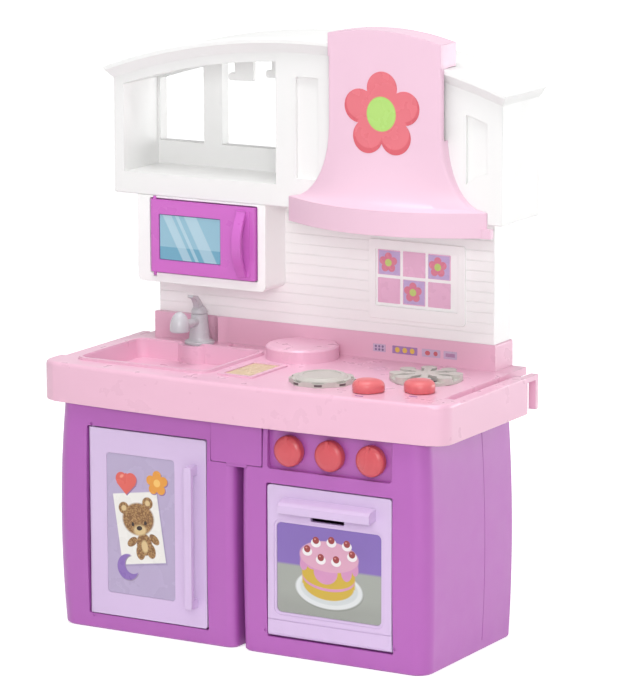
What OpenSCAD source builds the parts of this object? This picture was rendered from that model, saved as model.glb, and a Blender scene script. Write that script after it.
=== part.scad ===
// Toy play kitchen: two base cabinets, a worktop with sink and hob, a back wall with a
// microwave, an arched upper cabinet and a cooker hood.
// X runs to the right, Y to the back, Z up. The origin is on the floor, under the middle
// of the whole toy. All sizes are in millimetres.

/* [Base cabinets] */
// Width over both base cabinets at the floor
base_w = 649; // [520:1:780]
// Depth of the base cabinets at the floor
base_d = 275; // [235:1:330]
// Height of the base cabinets up to the seat of the worktop
base_h = 372; // [310:1:450]
// Gap between the two base cabinets
cabinet_gap = 12; // [6:1:24]
// How far the outer sides swell at mid height
side_bulge = 7; // [0:1:12]
// How far the fronts swell at mid height
front_bulge = 5; // [0:0.5:8]
// How much each outer side leans in towards the top
side_lean = 4; // [0:1:8]
// Wall thickness of the moulded shells
wall = 4; // [3:0.5:6]

/* [Doors] */
// Width of the fridge door and of the oven door
door_w = 214; // [170:1:230]
// Height of the fridge door
fridge_door_h = 295; // [240:1:300]
// Height of the oven door
oven_door_h = 236; // [190:1:240]
// Height of the fridge door's lower edge above the floor
fridge_door_z = 26; // [24:1:40]
// Height of the oven door's lower edge above the floor
oven_door_z = 31; // [30:1:40]
// Thickness of the fridge and oven doors
door_t = 14; // [12:1:16]
// Gap around each door
door_gap = 2; // [1:0.1:3]
// Width of the microwave door
mw_door_w = 193; // [150:1:200]
// Height of the microwave door
mw_door_h = 115; // [95:1:118]
// Thickness of the microwave door
mw_door_t = 14; // [13:0.5:15]
// How far the pull handles stand off the doors
handle_reach = 21; // [17:1:24]
// Radius of the hinge pins
pin_r = 3; // [2.5:0.1:4]

/* [Worktop] */
// How far the worktop stands out past each base cabinet
top_overhang = 31.5; // [24:0.5:45]
// Height of the worktop's surface above the floor, over the cabinets' seat
top_rise = 45; // [38:1:60]
// Depth of the worktop's skirt
skirt_h = 62; // [50:1:70]
// Depth from the cabinets' centre line to the middle of the front edge
top_front = 157; // [150:1:190]
// How much the front edge bows out
front_bow = 16; // [0:1:22]
// Depth of the sink
sink_depth = 27; // [20:1:30]
// Width of the sink
sink_w = 224; // [180:1:230]

/* [Back wall] */
// Width of the back wall
wall_w = 600; // [520:1:620]
// Thickness of the back wall
wall_d = 56; // [46:1:60]
// Height of the pink splash-back above the worktop
splash_h = 41; // [30:1:50]
// Height of the white back wall
wall_h = 195; // [175:1:230]
// Depth of the microwave housing in front of the back wall
mw_reach = 61; // [50:1:70]
// Pitch of the lines on the back wall
board_pitch = 16; // [12:1:22]

/* [Upper cabinet] */
// Width of the upper cabinet
upper_w = 688; // [620:1:700]
// Depth of the upper cabinet
upper_d = 122; // [112:1:135]
// Height from the cabinet's underside to the top of the arched roof
upper_h = 264; // [240:1:300]
// Height that the roof rises from its ends to its middle
roof_rise = 63; // [40:1:80]
// Overhang of the cornice
cornice = 12; // [8:1:16]
// Height of the cornice
cornice_h = 26; // [20:1:30]

/* [Hood] */
// Place of the hood's centre to the right of the middle
hood_x = 153.5; // [140:0.5:160]
// Width of the hood's upright part
hood_w = 196; // [160:1:204]
// Width of the hood's flared lower edge
hood_flare_w = 344; // [300:1:350]
// How far the hood's upright part stands in front of the cabinet
hood_reach = 21.5; // [18:0.5:26]
// How far the hood's lower edge stands in front of the cabinet
hood_lip_reach = 62; // [45:1:70]
// Height of the hood's lower band
band_h = 38; // [30:1:45]

/* [Knobs and tap] */
// Radius of the oven control knobs
knob_r = 24; // [20:0.5:26]
// Spacing of the oven control knobs
knob_pitch = 70.5; // [60:0.5:76]
// Radius of the hob knobs
hob_knob_r = 22; // [18:0.5:24]
// Radius of every knob's stem
stem_r = 5; // [4:0.5:6]
// Radius of the small hotplate
hotplate_r = 50; // [42:1:54]
// Radius of the ring-shaped burner grate
grate_r = 57; // [48:1:58]
// Radius of the tap's foot
tap_foot_r = 24; // [20:1:26]
// Height of the tap's body
tap_h = 48; // [40:1:60]
// Reach of the tap's spout
spout_reach = 59; // [45:1:65]

/* [Hidden] */

eps = 0.05;
$fn = 48;
purple = "#b35fb5";
pink = "#f0bcd3";
lilac = "#cdb8e0";
coral = "#e0706c";
white = "#f3f3f3";
steel = "#b9bac0";
fit_gap = 0.3;        // gap between pieces that only lie against each other
run_gap = 0.06;       // radial gap of a stem or pin that turns in its hole
move_gap = 0.6;       // gap between faces that pass each other

// Base cabinets
corner_r = 26;
cab_x0 = cabinet_gap/2;
cab_x1 = base_w/2;
cab_y0 = -base_d/2;
cab_y1 = base_d/2;
cab_mid = (cab_x0 + cab_x1)/2;
door_x0 = cab_mid - 4 - door_w/2;
door_x1 = door_x0 + door_w;
door_y = cab_y0 - 3;              // front plane of the doors
ledge = 9;                        // width of the stop behind each door
pivot_in = door_t/2;              // hinge axis behind the door's front and in from its edge
sill_r = door_t/2;
panel_z0 = oven_door_z + oven_door_h + 24;
panel_depth = 7;
panel_y = cab_y0 + panel_depth - 1;
knob_z = panel_z0 + 30;
knob_x = door_x0 + door_w/2;

// Worktop
top_w = base_w + 2*top_overhang;
top_z = base_h + top_rise;
skirt_z = top_z - skirt_h;
rail_drop = 5;
rail_w = 22;
groove_w = 7;
skirt_back = 132;
back_y = cab_y1 + 43;
splash_y = back_y - wall_d - 2;
splash_z = top_z + splash_h;
tongue_h = 18;
deck_t = 5;
deck_under = top_z - rail_drop - deck_t;
sink_out = 5;                     // how far the sink starts left of the back wall's end
sink_x0 = -wall_w/2 - sink_out;
sink_y0 = -102;
sink_y1 = 72;
sink_z = top_z - sink_depth;
tap_x = sink_x0 + 95;
tap_y = splash_y - 26;
alcove_r = tap_foot_r + 5;
ledge_x1 = tap_x + 22;           // right end of the splash-back's forward part
ledge_out = 10;
drum_r = 57;
drum_x = sink_x0 + sink_w + 70;
drum_y = splash_y - 45;
drum_h = 21;
board_x = drum_x - 14;
board_y = -50;
board_w = 48;
board_l = 92;
hotplate_x = 110;
hotplate_y = -71;
grate_x = 240;
grate_y = 18;
hob_knobs = [[205, -103, 25], [277, -67, 180]];
hob_knob_h = 20;

// Back wall
wall_y0 = splash_y + 1;
wall_y1 = back_y - 1;
wall_top = splash_z + wall_h;
mw_x0 = -wall_w/2 - 2;
mw_x1 = -68;
mw_y = wall_y0 - mw_reach;
mw_z0 = splash_z + 58;
mw_door_x0 = mw_x0 + 25;
mw_door_z0 = mw_z0 + 17;
mw_door_y = mw_y - 6;
mw_pivot = mw_door_t/2;
frame_x0 = 83;
frame_z0 = splash_z + 24;
frame_w = 168;
frame_h = 124;
frame_lip = 3;
tile = 39;
tile_gap = 5;

// Upper cabinet
up_y0 = mw_y;
up_y1 = up_y0 + upper_d;
up_z = wall_top;
roof_z = up_z + upper_h;
roof_half = upper_w/2 + cornice;
roof_r = (roof_half*roof_half + roof_rise*roof_rise)/(2*roof_rise);
up_back_t = 20;
shelf_x0 = -upper_w/2 + 18;
shelf_x1 = -49;
shelf_floor = up_z + 35;
ceiling_drop = 38;
pane_drop = 42;
stile_cut = 6;

// Depth of the whole toy, and the shift that puts its middle over the origin
front_most = min(door_y - handle_reach, -top_front);
back_most = max(up_y1, back_y);
y_shift = -(front_most + back_most)/2;

// Hood
hood_z = up_z - 19;
flare_h = 115;
crown_drop = 36;                  // thickness of the cap before the roof is cut out
crown_rise = 22;                  // top of the cap above the top of the roof
crown_back = 26;                  // reach of the cap over the roof
crown_peak = 17;                  // place of its highest point, left of the hood's centre
hood_t = 3;
hood_skew = -6;                   // shift of the lower edge from the upright part
crown_r = 420;

// Tap
tap_seam = top_z + tap_h;
tap_stem_r = 8;
tap_stem_z = deck_under - 12;
tap_neck_r = 13;
spout_z = tap_seam - 12;

// Bridge plate over the gap between the base cabinets
bridge_w = 90;
bridge_z0 = base_h - 80;
bridge_t = 10;
bridge_tab_w = 36;
bridge_tab_h = 5;
bridge_proud = 4;                 // how far the plate stands in front of its seat's edge

// Screw places that hold the worktop, on the right-hand side
worktop_screw_at = [[60, -95], [285, -95], [60, 95], [285, 95]];
wall_screw_at = [-250, -90, 90, 250];
upper_screw_at = [-35, 90, 250];
upper_tongue = 18;

// Mould seam on the outer side of each base cabinet
seam_y = 41;
seam_w = 1.2;
seam_depth = 0.7;

// Stickers
film = 0.5;
flower_z = hood_z + 177;
tile_x0 = frame_x0 + 15;
tile_z0 = frame_z0 + 25;

// ---------------------------------------------------------------- helpers

function arc(cx, cy, r, a0, a1, n) =
    [for (i = [0:n]) let (a = a0 + (a1 - a0)*i/n) [cx + r*cos(a), cy + r*sin(a)]];

function at_z(outline, z) = [for (p = outline) [p[0], p[1], z]];

// Height of the arched roof over a place x
function roof_at(x) = roof_z - roof_r + sqrt(roof_r*roof_r - x*x);

// Closed solid through outlines that all have the same number of points
module loft(rings) {
    n = len(rings[0]);
    m = len(rings);
    sides = [for (i = [0:m - 2], j = [0:n - 1])
        [i*n + j, (i + 1)*n + j, (i + 1)*n + (j + 1)%n, i*n + (j + 1)%n]];
    bottom = [for (j = [0:n - 1]) j];
    top = [for (j = [n - 1:-1:0]) (m - 1)*n + j];
    polyhedron([for (r = rings) each r], concat([bottom], sides, [top]));
}

// Moves a finished piece so that the origin is under the middle of the whole toy
module on_origin() translate([0, y_shift, 0]) children();

module box(x0, x1, y0, y1, z0, z1) {
    translate([x0, y0, z0]) cube([x1 - x0, y1 - y0, z1 - z0]);
}

module round_rect(w, h, r) {
    translate([r, 0]) square([w - 2*r, h]);
    translate([0, r]) square([w, h - 2*r]);
    for (x = [r, w - r], y = [r, h - r]) translate([x, y]) circle(r);
}

// Plate standing in the XZ plane with rounded corners, from y0 back to y1
module plate_xz(x0, x1, z0, z1, y0, y1, r) {
    translate([x0, y1, z0]) rotate([90, 0, 0])
        linear_extrude(y1 - y0) round_rect(x1 - x0, z1 - z0, r);
}

// Plate lying in the XY plane with rounded corners
module plate_xy(x0, x1, y0, y1, z0, z1, r) {
    translate([x0, y0, z0]) linear_extrude(z1 - z0) round_rect(x1 - x0, y1 - y0, r);
}

module rod_x(x0, x1, y, z, r) {
    translate([x0, y, z]) rotate([0, 90, 0]) cylinder(h = x1 - x0, r = r);
}

module rod_y(x, y0, y1, z, r) {
    translate([x, y1, z]) rotate([90, 0, 0]) cylinder(h = y1 - y0, r = r);
}

module rod_z(x, y, z0, z1, r) {
    translate([x, y, z0]) cylinder(h = z1 - z0, r = r);
}

// Pan-head screw along +Z with its head's underside at z = 0 and its shank above
module screw(shank_r, shank_l, head_r, head_h) {
    translate([0, 0, -eps]) cylinder(h = shank_l + eps, r = shank_r);
    translate([0, 0, -head_h]) difference() {
        cylinder(h = head_h, r = head_r);
        for (a = [0, 90]) rotate(a)
            translate([-head_r*0.6, -0.5, -eps]) cube([head_r*1.2, 1, head_h*0.5]);
    }
}

// ---------------------------------------------------------------- base cabinets

// Outline of the right-hand cabinet at height z, moved in by an inset
function cabinet_outline(z, inset) =
    let (t = z/base_h,
        swell = 4*t*(1 - t),
        x0 = cab_x0 + inset,
        x1 = cab_x1 - side_lean*t + side_bulge*swell - inset,
        y0 = cab_y0 - front_bulge*swell + inset,
        y1 = cab_y1 - inset,
        r = corner_r - inset,
        rb = 8 - inset)
    concat(arc(x0 + r*0.6, y0 + r*0.6, r*0.6, 180, 270, 5),
        arc(x1 - r, y0 + r, r, 270, 360, 6),
        arc(x1 - rb, y1 - rb, rb, 0, 90, 3),
        arc(x0 + rb, y1 - rb, rb, 90, 180, 3));

module cabinet_form(inset) {
    zs = [for (i = [0:10]) inset + (base_h - 2*inset)*i/10];
    edge = 3;
    loft(concat([at_z(cabinet_outline(inset, inset + edge), inset)],
        [at_z(cabinet_outline(inset + edge, inset), inset + edge)],
        [for (i = [1:10]) at_z(cabinet_outline(zs[i], inset), zs[i])]));
}

// Pocket for a door, with a stop ledge behind it and the open cavity beyond
module door_pocket(z0, h) {
    pocket_back = door_y + door_t + 2;
    plate_xz(door_x0 - door_gap, door_x1 + door_gap, z0 - door_gap, z0 + h + door_gap,
        cab_y0 - 30, pocket_back, 2.5);
    plate_xz(door_x0 + ledge, door_x1 - ledge, z0 + ledge, z0 + h - ledge,
        pocket_back - 1, pocket_back + 30, 5);
}

// Lining that frames a door pocket inside the shell
module pocket_lining(z0, h) {
    plate_xz(door_x0 - door_gap - wall, door_x1 + door_gap + wall,
        z0 - door_gap - wall, z0 + h + door_gap + wall,
        cab_y0 + 1, door_y + door_t + 2 + wall, 7);
}

// Cabinet shell on the right-hand side, without its door pocket
module cabinet_shell(z0, h) {
    difference() {
        cabinet_form(0);
        cabinet_form(wall);
        difference() {
            box(cab_x1 - 2*wall, cab_x1 + 2*wall, seam_y - seam_w/2, seam_y + seam_w/2,
                4*wall, base_h - 2);
            cabinet_form(seam_depth);
        }
    }
    intersection() {
        pocket_lining(z0, h);
        cabinet_form(1);
    }
}

// Seat for the bridge plate, on the right-hand side of the middle
module bridge_seat() {
    box(-eps, bridge_w/2 + 1, cab_y0 - 20, cab_y0 + bridge_t - 1, bridge_z0 - 1, base_h + 1);
    box(-eps, bridge_tab_w/2 + fit_gap, cab_y0 - 20, cab_y0 + 4 + fit_gap,
        bridge_z0 - bridge_tab_h - fit_gap, bridge_z0);
}

module bridge_seat_back() {
    box(cab_x0 + 1, bridge_w/2 + 1 + wall, cab_y0 + 2, cab_y0 + bridge_t - 1 + wall,
        bridge_z0 - 1 - wall, base_h - 1);
}

module worktop_screw_holes() {
    for (p = worktop_screw_at) rod_z(p[0], p[1], base_h - wall - 1, base_h + 1, 2.4);
}

module left_cabinet() color(purple) on_origin() {
    pin_x = -door_x1 + pivot_in;
    pin_y = door_y + pivot_in;
    difference() {
        mirror([1, 0, 0]) difference() {
            union() {
                cabinet_shell(fridge_door_z, fridge_door_h);
                intersection() {
                    bridge_seat_back();
                    cabinet_form(1);
                }
            }
            door_pocket(fridge_door_z, fridge_door_h);
            bridge_seat();
            worktop_screw_holes();
        }
        rod_z(pin_x, pin_y, fridge_door_z - 9, fridge_door_z + fridge_door_h + 9,
            pin_r + run_gap);
        // dimples that mark the hinge pins
        for (z = [fridge_door_z - 5, fridge_door_z + fridge_door_h + 5])
            rod_y(pin_x, cab_y0 - 9, cab_y0, z, 2.5);
    }
}

module right_cabinet() color(purple) on_origin() {
    difference() {
        union() {
            cabinet_shell(oven_door_z, oven_door_h);
            intersection() {
                bridge_seat_back();
                cabinet_form(1);
            }
            intersection() {
                box(door_x0 - wall, door_x1 + wall, cab_y0 + 1, panel_y + wall,
                    panel_z0 - wall, base_h - 1);
                cabinet_form(1);
            }
        }
        door_pocket(oven_door_z, oven_door_h);
        bridge_seat();
        worktop_screw_holes();
        plate_xz(door_x0, door_x1, panel_z0, base_h + 20, cab_y0 - 20, panel_y, 6);
        for (i = [-1:1])
            rod_y(knob_x + i*knob_pitch, cab_y0 - 1, panel_y + wall + 1, knob_z,
                stem_r + run_gap);
        rod_x(door_x0 - 9, door_x1 + 9, door_y + pivot_in, oven_door_z + sill_r,
            pin_r + run_gap);
        for (x = [door_x0 - 5, door_x1 + 5])
            rod_y(x, cab_y0 - 9, cab_y0, oven_door_z + sill_r, 2.5);
    }
}

module bridge_plate() color(purple) on_origin() {
    clear = 1 - fit_gap;
    y0 = cab_y0 - bridge_proud;
    y1 = cab_y0 + bridge_t - 1 - fit_gap;
    difference() {
        union() {
            plate_xz(-bridge_w/2 + 1 - clear, bridge_w/2 - 1 + clear,
                bridge_z0, base_h - fit_gap, y0, y1, 3);
            box(-bridge_tab_w/2, bridge_tab_w/2, y0 + 1, cab_y0 + 4,
                bridge_z0 - bridge_tab_h, bridge_z0 + 4);
            // spine that drops into the gap between the cabinets
            box(-cab_x0 + fit_gap, cab_x0 - fit_gap, y0 + 2, y1 + 24, bridge_z0 + 6,
                base_h - 6);
        }
        box(-bridge_w/2 + 4, -cab_x0 - 4, y1 - 5, y1 + 1, bridge_z0 + 4, base_h - 6);
        box(cab_x0 + 4, bridge_w/2 - 4, y1 - 5, y1 + 1, bridge_z0 + 4, base_h - 6);
    }
}

// ---------------------------------------------------------------- worktop

// Plan outline of the worktop, moved in by an inset
function worktop_outline(inset) =
    let (w = top_w/2 - inset,
        r = corner_r + 2 - inset,
        y0 = -top_front + inset,
        y_corner = y0 + front_bow,
        y1 = skirt_back - inset,
        n = 14,
        front = [for (i = [0:n]) let (s = -1 + 2*i/n, x = (w - r)*s)
            [x, y0 + front_bow*s*s*0.86]])
    concat(arc(-w + r, y_corner + r, r, 180, 258, 5), front,
        arc(w - r, y_corner + r, r, 282, 360, 5),
        arc(w - 4, y1 - 4, 4, 0, 90, 2),
        arc(-w + 4, y1 - 4, 4, 90, 180, 2));

module worktop_form() {
    loft([at_z(worktop_outline(1), skirt_z), at_z(worktop_outline(0), skirt_z + 1.5),
        at_z(worktop_outline(0), top_z - 7), at_z(worktop_outline(1), top_z - 3),
        at_z(worktop_outline(3.5), top_z - 0.8), at_z(worktop_outline(7), top_z)]);
}

module worktop_inside() {
    loft([at_z(worktop_outline(wall), skirt_z - 1),
        at_z(worktop_outline(wall), top_z - rail_drop - deck_t)]);
}

module sink_outer(grow, z0, z1) {
    plate_xy(sink_x0 - grow, sink_x0 + sink_w + grow, sink_y0 - grow, sink_y1 + grow,
        z0, z1, 14 + grow);
}

module tap_boss(grow, z0, z1) {
    rod_z(tap_x, tap_y - 4, z0, z1, tap_foot_r + 8 + grow);
}

// Towel hook that reaches back from the right-hand rail
module rear_hook() {
    hook_w = 12;
    hook_y = skirt_back + 31;
    box(top_w/2 - hook_w, top_w/2, skirt_back - 6, hook_y, top_z - rail_drop - 8,
        top_z - rail_drop);
    box(top_w/2 - hook_w, top_w/2, hook_y - 8, hook_y, skirt_z + 3,
        top_z - rail_drop);
}

// Groove along the right-hand rail and the lowered rail outside it
module side_groove() {
    x1 = top_w/2 - rail_w;
    box(x1 - groove_w, top_w/2 + 1, -88, back_y + 1, top_z - rail_drop, top_z + 1);
    box(x1 - groove_w, x1, -72, back_y + 1, top_z - rail_drop - 3, top_z + 1);
}

module screw_bosses() {
    for (m = [0, 1], p = worktop_screw_at) mirror([m, 0, 0])
        rod_z(p[0], p[1], base_h, top_z - 4, 7);
}

module worktop() color(pink) on_origin() {
    slab_x = top_w/2 - rail_w - groove_w;
    hole = wall_w/2 - 8;
    difference() {
        union() {
            difference() {
                worktop_form();
                worktop_inside();
            }
            // deck behind the skirt, and the splash-back
            box(-slab_x, slab_x, skirt_back - wall - 2, back_y, top_z - 12, top_z);
            plate_xz(-wall_w/2 - 3, wall_w/2 + 3, top_z - 12, splash_z, splash_y, back_y, 3);
            // forward part of the splash-back behind the tap
            translate([0, 0, top_z - 1]) linear_extrude(splash_h + 1) polygon([
                [-wall_w/2 - 3, splash_y + 1], [-wall_w/2 - 3, splash_y - ledge_out],
                [ledge_x1, splash_y - ledge_out], [ledge_x1 + 20, splash_y + 1]]);
            // tongue inside the back wall
            box(-hole, hole, splash_y + wall + 2, back_y - wall - 2, splash_z - 1,
                splash_z + tongue_h);
            rod_z(drum_x, drum_y, top_z - 1, top_z + drum_h - 3, drum_r);
            translate([drum_x, drum_y, top_z + drum_h - 3])
                cylinder(h = 3, r1 = drum_r, r2 = drum_r - 3);
            sink_outer(wall, sink_z - wall, top_z - 1);
            sink_outer(9, top_z - 2, top_z + 2.2);
            sink_outer(7.5, top_z - 2, top_z + 4);
            // raised lip of the chopping board
            plate_xy(board_x - board_w/2 - 8, board_x + board_w/2 + 8,
                board_y - board_l/2 - 8, board_y + board_l/2 + 8, top_z - 2, top_z + 2.5, 4);
            screw_bosses();
            for (m = [0, 1]) mirror([m, 0, 0]) rear_hook();
        }
        for (m = [0, 1]) mirror([m, 0, 0]) side_groove();
        // the cabinets stand behind the skirt's rear edge
        box(-cab_x1 - 2, cab_x1 + 2, skirt_back - 12, skirt_back + 1, skirt_z - 1, base_h);
        difference() {
            union() {
                sink_outer(0, sink_z, top_z + 5);
                sink_outer(1.5, top_z + 2.2, top_z + 5);
            }
            tap_boss(0, sink_z - 1, top_z + 1);
        }
        tap_boss(-2, sink_z - wall - 1, top_z - wall);
        // alcove behind the tap
        rod_z(tap_x, tap_y, top_z, splash_z + 1, alcove_r);
        // shallow soap tray right of the tap
        plate_xy(tap_x + 50, tap_x + 118, sink_y1 + 16, splash_y - 4, top_z - 2,
            top_z + 1, 4);
        plate_xy(board_x - board_w/2, board_x + board_w/2, board_y - board_l/2,
            board_y + board_l/2, top_z + 0.6, top_z + 4, 2);
        // hollow of the splash-back, its tongue and the drum
        box(-hole + wall, hole - wall, splash_y + 2*wall + 2, back_y - 2*wall - 2,
            top_z - 13, splash_z + tongue_h - wall);
        box(-wall_w/2 + 4, wall_w/2 - 4, splash_y + 2*wall, back_y - wall,
            top_z - 13, splash_z - wall);
        rod_z(drum_x, drum_y, top_z - 20, top_z + drum_h - wall, drum_r - wall);
        rod_z(tap_x, tap_y, top_z - 30, top_z + 1, tap_stem_r + run_gap);
        for (k = hob_knobs) rod_z(k[0], k[1], top_z - 30, top_z + 1, stem_r + run_gap);
        for (m = [0, 1], p = worktop_screw_at) mirror([m, 0, 0])
            rod_z(p[0], p[1], base_h - 1, top_z - 12, 1.9);
        for (p = wall_screw_at)
            rod_y(p, back_y - 2*wall - 3, back_y + 1, splash_z + tongue_h/2, 1.4);
    }
}

// ---------------------------------------------------------------- back wall

module mw_housing_form() {
    plate_xz(mw_x0, mw_x1, mw_z0, wall_top, mw_y, wall_y0 + 1, 10);
    box(mw_x0, mw_x1, mw_y, wall_y0 + 1, wall_top - 20, wall_top);
}

module back_wall() color(white) on_origin() {
    x = wall_w/2;
    difference() {
        union() {
            difference() {
                box(-x, x, wall_y0, wall_y1, splash_z, wall_top);
                box(-x + wall, x - wall, wall_y0 + wall, wall_y1 - wall, splash_z - 1,
                    wall_top + 1);
            }
            mw_housing_form();
            // lining of the microwave's cavity inside the wall
            box(mw_door_x0 + 5, mw_door_x0 + mw_door_w - 5, wall_y0, wall_y1 - 1,
                mw_door_z0 + 3, mw_door_z0 + mw_door_h - 1);
            // raised frame around the tile window
            plate_xz(frame_x0, frame_x0 + frame_w, frame_z0, frame_z0 + frame_h,
                wall_y0 - frame_lip, wall_y0 + 1, 5);
        }
        // pocket of the microwave door, then the cavity
        plate_xz(mw_door_x0 - door_gap, mw_door_x0 + mw_door_w + door_gap,
            mw_door_z0 - door_gap, mw_door_z0 + mw_door_h + door_gap, mw_y - 10,
            mw_door_y + mw_door_t + 2, 3);
        plate_xz(mw_door_x0 + 10, mw_door_x0 + mw_door_w - 10, mw_door_z0 + 8,
            mw_door_z0 + mw_door_h - 6, mw_y, wall_y1 - wall - 4, 4);
        rod_z(mw_door_x0 + mw_pivot, mw_door_y + mw_pivot, mw_door_z0 - 8,
            mw_door_z0 + mw_door_h + 20, pin_r + run_gap);
        // opening in the raised frame
        plate_xz(frame_x0 + 12, frame_x0 + frame_w - 12, frame_z0 + 20,
            frame_z0 + frame_h - 14, wall_y0 - frame_lip - 1, wall_y0, 2);
        // board lines
        for (z = [splash_z + board_pitch:board_pitch:wall_top - 4]) difference() {
            box(-x - 1, x + 1, wall_y0 - 0.01, wall_y0 + 0.5, z, z + 1);
            box(mw_x0 - 1, mw_x1 + 1, wall_y0 - 1, wall_y0 + 2, mw_z0, wall_top + 1);
            box(frame_x0, frame_x0 + frame_w, wall_y0 - 1, wall_y0 + 2, frame_z0,
                frame_z0 + frame_h);
        }
        for (p = wall_screw_at)
            rod_y(p, wall_y1 - wall - 1, wall_y1 + 1, splash_z + tongue_h/2, 1.8);
        for (p = upper_screw_at)
            rod_y(p, wall_y1 - wall - 1, wall_y1 + 1, up_z - upper_tongue/2, 1.8);
    }
}

// ---------------------------------------------------------------- upper cabinet

// Side outline under the arched roof; drop lowers the arch, over widens it
module arch_xz(half, z0, drop, y0, y1) {
    n = 24;
    translate([0, y1, 0]) rotate([90, 0, 0]) linear_extrude(y1 - y0)
        polygon(concat([[-half, z0], [half, z0]],
            [for (i = [0:n]) let (x = half - 2*half*i/n) [x, roof_at(x) - drop]]));
}

// Part of the arch between two places x
module arch_part(x0, x1, z0, drop, y0, y1) {
    intersection() {
        arch_xz(upper_w/2, z0, drop, y0, y1);
        box(x0, x1, y0 - 1, y1 + 1, z0 - 1, roof_z + 1);
    }
}

// Front-to-back section at place x, with the cornice's cove at the front
function roof_section(x, y_back) =
    let (z = roof_at(x), y = up_y0, c = cornice, h = cornice_h)
    [[x, y_back, up_z], [x, y_back, z], [x, y - c + 2, z], [x, y - c, z - 2],
        [x, y - c, z - h*0.3], [x, y - c*0.72, z - h*0.42], [x, y - c*0.5, z - h*0.6],
        [x, y - c*0.2, z - h*0.78], [x, y, z - h*0.88], [x, y, z - h],
        [x, y, up_z + 2], [x, y + 2, up_z]];

// Cabinet and cornice before anything is cut out
module upper_form() {
    n = 24;
    h = cornice_h;
    c = cornice;
    w = upper_w/2;
    side = [[w - 2, up_z], [w, up_z + 2], [w, roof_at(w) - h], [w, roof_at(w) - h*0.88],
        [w + c*0.2, roof_at(w) - h*0.78], [w + c*0.5, roof_at(w) - h*0.6],
        [w + c*0.72, roof_at(w) - h*0.42], [w + c, roof_at(w) - h*0.3],
        [w + c, roof_at(w + c) - 2], [w + c, roof_z + 5]];
    intersection() {
        loft([for (i = [0:n]) roof_section(-roof_half + 2*roof_half*i/n, up_y1)]);
        translate([0, up_y1 + 1, 0]) rotate([90, 0, 0])
            linear_extrude(up_y1 - up_y0 + cornice + 2)
            polygon(concat(side, [for (i = [len(side) - 1:-1:0]) [-side[i][0], side[i][1]]]));
    }
}

module upper_cabinet() color(white) on_origin() {
    w = upper_w/2;
    bay_x0 = shelf_x1 + 22;
    for (x = [-158, -90]) cup_hook(x);
    difference() {
        union() {
            upper_form();
            // tongue inside the back wall
            difference() {
                box(mw_x1 + 10, wall_w/2 - wall - 1, wall_y0 + wall + 1,
                    wall_y1 - wall - 1, up_z - upper_tongue, up_z + 1);
                box(mw_x1 + 10 + wall, wall_w/2 - 2*wall - 1, wall_y0 + 2*wall + 1,
                    wall_y1 - 2*wall - 1, up_z - upper_tongue - 1, up_z - wall);
            }
        }
        // open shelf compartment and the two panes behind it
        arch_part(shelf_x0, shelf_x1, shelf_floor, ceiling_drop, up_y0 - cornice - 1,
            up_y1 - up_back_t);
        arch_part(shelf_x0 + 4, -241, up_z + 72, pane_drop, up_y0, up_y1 + 1);
        arch_part(-207, shelf_x1 - 12, up_z + 72, pane_drop, up_y0, up_y1 + 1);
        // hollows below the shelf, above its ceiling and in the closed bay
        box(-w + wall, shelf_x1, up_y0 + wall, up_y1 - wall, up_z + wall,
            shelf_floor - wall);
        arch_part(bay_x0 + wall, w - wall, up_z + wall, wall + 2, up_y0 + wall + stile_cut,
            up_y1 - wall);
        difference() {
            arch_part(-w + wall, bay_x0 + wall + 1, up_z + wall, wall + 2,
                up_y0 + wall + stile_cut, up_y1 - wall);
            arch_part(-w, bay_x0, up_z, ceiling_drop - wall, up_y0, up_y1);
        }
        // sunk panels on both sides of the hood
        difference() {
            arch_part(-13, w - 26, up_z + 47, 60, up_y0 - 1, up_y0 + stile_cut);
            box(hood_x - hood_w/2 - 29, hood_x + hood_w/2 + 31, up_y0 - 2,
                up_y0 + stile_cut + 1, up_z, roof_z);
            rod_y(hood_x + hood_flare_w/2, up_y0 - 2, up_y0 + stile_cut + 1,
                up_z + 20, 58);
        }
        // vents of the hollows, at the back and underneath
        box(hood_x - 6, hood_x + 6, up_y1 - wall - 1, up_y1 + 1, up_z + 40, up_z + 46);
        box(-w + 40, -w + 52, up_y1 - wall - 1, up_y1 + 1, up_z + 12, up_z + 18);
        for (p = upper_screw_at)
            rod_y(p, wall_y1 - wall - 8, wall_y1 + 1, up_z - upper_tongue/2, 1.4);
    }
}

// One cup hook: a stem that hangs from the shelf's ceiling with a foot to the left
module cup_hook(x) {
    y = up_y1 - up_back_t - 14;
    top = roof_at(x) - ceiling_drop;
    foot = top - 34;
    box(x - 17, x + 17, y, y + 8, foot, top + 2);
    plate_xz(x - 28, x + 17, foot - 2, foot + 10, y, y + 8, 4);
}

// ---------------------------------------------------------------- hood

// Share of the flare at height z: 0 on the upright part, 1 at the lower band
function flare(z) =
    let (t = min(1, max(0, (z - hood_z - band_h)/flare_h)))
    1 - sqrt(max(0, 1 - (1 - t)*(1 - t)));

// Plan outline of the hood at height z, grown outwards by grow
function hood_outline(z, grow) =
    let (g = flare(z),
        w = hood_w/2 + (hood_flare_w - hood_w)/2*g + grow,
        d = hood_reach*(1 - g) + 4*g + grow,
        bow = (hood_lip_reach - 4)*g,
        y = up_y0 - fit_gap,
        r = min(6, d*0.7),
        n = 12,
        c = hood_x + hood_skew*g)
    concat([[c - w, y]],
        arc(c - w + r, y - d + r, r, 180, 250, 3),
        [for (i = [1:n - 1]) let (s = -1 + 2*i/n)
            [c + (w - r)*s, y - d - bow*(1 - s*s)]],
        arc(c + w - r, y - d + r, r, 290, 360, 3),
        [[c + w, y]]);

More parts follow.
